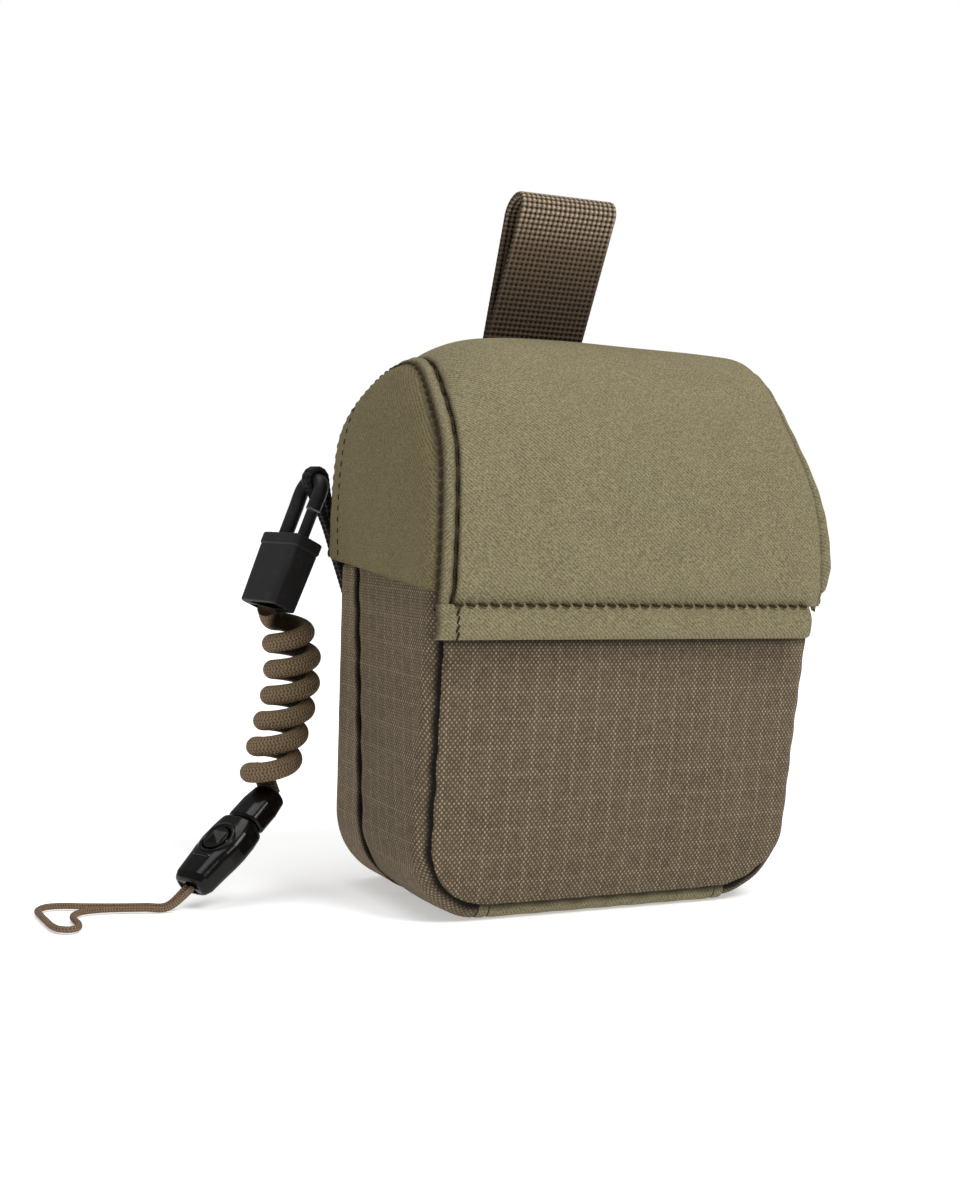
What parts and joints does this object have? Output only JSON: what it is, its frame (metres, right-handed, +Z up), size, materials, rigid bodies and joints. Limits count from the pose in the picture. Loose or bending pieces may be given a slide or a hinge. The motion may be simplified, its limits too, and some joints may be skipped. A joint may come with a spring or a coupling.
{
  "type": "rangefinder pouch",
  "caption": "Padded belt pouch for a hand-held rangefinder, with a forward-opening softshell lid, webbing pull loop and coiled lanyard.",
  "frame": {"origin": "on the floor below the middle of the pouch's width and depth, the lanyard left out", "axes": "+Z up, +Y to the back that is worn against the body, +X to the right seen from the front"},
  "size_m": [0.1722, 0.0784, 0.1639],
  "materials": {
    "brown_ripstop": "matte woven",
    "olive_softshell": "matte knit",
    "foam": "matte foam",
    "lining": "brushed",
    "brown_webbing": "woven nylon",
    "black_webbing": "woven nylon",
    "black_plastic": "moulded",
    "gloss_black_plastic": "polished",
    "brown_cord": "braided",
    "magnet": "nickel plated"
  },
  "bodies": {
    "pouch": {"front_panel": "brown_ripstop", "left_gusset": "brown_ripstop", "right_gusset": "brown_ripstop", "bottom_panel": "olive_softshell", "bottom_left_tape": "olive_softshell", "bottom_right_tape": "olive_softshell", "back_band": "brown_ripstop", "back_panel": "brown_ripstop", "front_foam": "foam", "left_foam": "foam", "right_foam": "foam", "bottom_foam": "foam", "back_foam": "foam", "liner": "lining", "back_magnet": "magnet", "hem_band": "olive_softshell", "belt_loop": "brown_webbing", "anchor_loop": "black_webbing"},
    "lid": {"lid_panel": "olive_softshell", "lid_left_binding": "olive_softshell", "lid_right_binding": "olive_softshell", "lid_left_wing": "olive_softshell", "lid_right_wing": "olive_softshell", "lid_foam": "foam", "lid_lining": "lining", "lid_magnet": "magnet"},
    "pull": {"pull_loop": "brown_webbing"},
    "hook": {"hook_body": "black_plastic", "coil_cord": "brown_cord", "buckle_plug": "gloss_black_plastic"},
    "gate": {"hook_gate": "black_plastic"},
    "socket": {"buckle_socket": "gloss_black_plastic", "tether_loop": "brown_cord"},
    "button": {"release_button": "gloss_black_plastic"}
  },
  "joints": [
    {"name": "lid_hinge", "type": "hinge", "parent": "pouch", "child": "lid", "pos_m": [0, -0.0352, 0.07], "axis": [1, 0, 0], "range_deg": [0, 120]},
    {"name": "pull_loop_fold", "type": "hinge", "parent": "lid", "child": "pull", "pos_m": [-0.01, 0.0033, 0.13044], "axis": [1, 0, 0], "range_deg": [-80, 80], "stiffness_Nm_per_rad": 0.01},
    {"name": "hook_swing", "type": "hinge", "parent": "pouch", "child": "hook", "pos_m": [-0.05, 0.0378, 0.096], "axis": [-0.2924, 0.9563, 0], "range_deg": [0, 60]},
    {"name": "gate_open", "type": "hinge", "parent": "hook", "child": "gate", "pos_m": [-0.05557, 0.03233, 0.08015], "axis": [-0.8763, -0.2679, 0.4003], "range_deg": [0, 25], "stiffness_Nm_per_rad": 0.02},
    {"name": "socket_release", "type": "slide", "parent": "hook", "child": "socket", "axis": [-0.7224, -0.3528, -0.5947], "range_m": [0, 0.009]},
    {"name": "button_press", "type": "slide", "parent": "socket", "child": "button", "axis": [0.5344, 0.261, -0.8039], "range_m": [0, 0.0008], "stiffness_N_per_m": 300}
  ]
}
